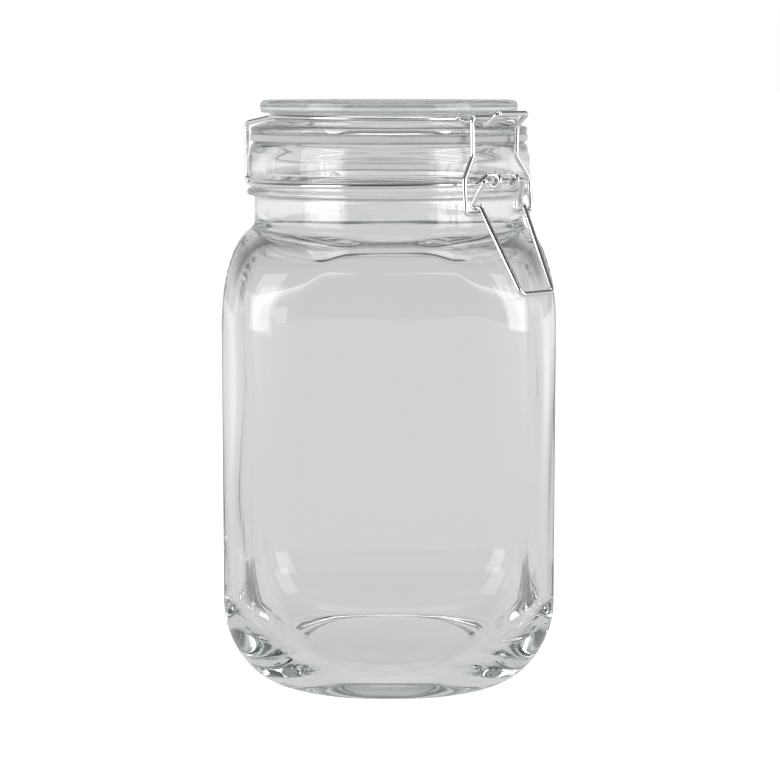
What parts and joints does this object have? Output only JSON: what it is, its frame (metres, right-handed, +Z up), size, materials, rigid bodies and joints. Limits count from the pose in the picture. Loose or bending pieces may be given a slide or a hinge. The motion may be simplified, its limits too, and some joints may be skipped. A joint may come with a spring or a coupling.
{
  "type": "preserving jar",
  "caption": "Square clear glass preserving jar with a round neck, hinged glass lid, rubber gasket and a wire lever closure.",
  "frame": {"origin": "centre of the jar's base, on the surface it stands on", "axes": "+Z up along the jar's axis; the flat sides of the body face X and Y, the lever is at the corner between +X and -Y and the hinge at the opposite corner"},
  "size_m": [0.1156, 0.1156, 0.2067],
  "materials": {
    "jar_glass": "clear moulded glass",
    "lid_glass": "clear moulded glass",
    "gasket_rubber": "matt translucent white rubber",
    "closure_wire": "bright stainless wire"
  },
  "bodies": {
    "jar": {"jar": "jar_glass", "neck_ring": "closure_wire"},
    "lid": {"lid": "lid_glass", "lid_ring": "closure_wire", "gasket": "gasket_rubber"},
    "lever": {"lever": "closure_wire"},
    "bail": {"bail": "closure_wire"}
  },
  "joints": [
    {"name": "lid_hinge", "type": "hinge", "parent": "jar", "child": "lid", "pos_m": [-0.03854, 0.03854, 0.17834], "axis": [-0.7071, -0.7071, 0], "range_deg": [0, 135]},
    {"name": "lever_pivot", "type": "hinge", "parent": "jar", "child": "lever", "pos_m": [0.03917, -0.03917, 0.1796], "axis": [-0.7071, -0.7071, 0], "range_deg": [0, 120]},
    {"name": "bail_pivot", "type": "hinge", "parent": "lever", "child": "bail", "pos_m": [0.03748, -0.03748, 0.1687], "axis": [-0.7071, -0.7071, 0], "range_deg": [-90, 0]}
  ],
  "couplings": [
    {"joint": "bail_pivot", "follows": "lever_pivot", "ratio": -0.75}
  ]
}
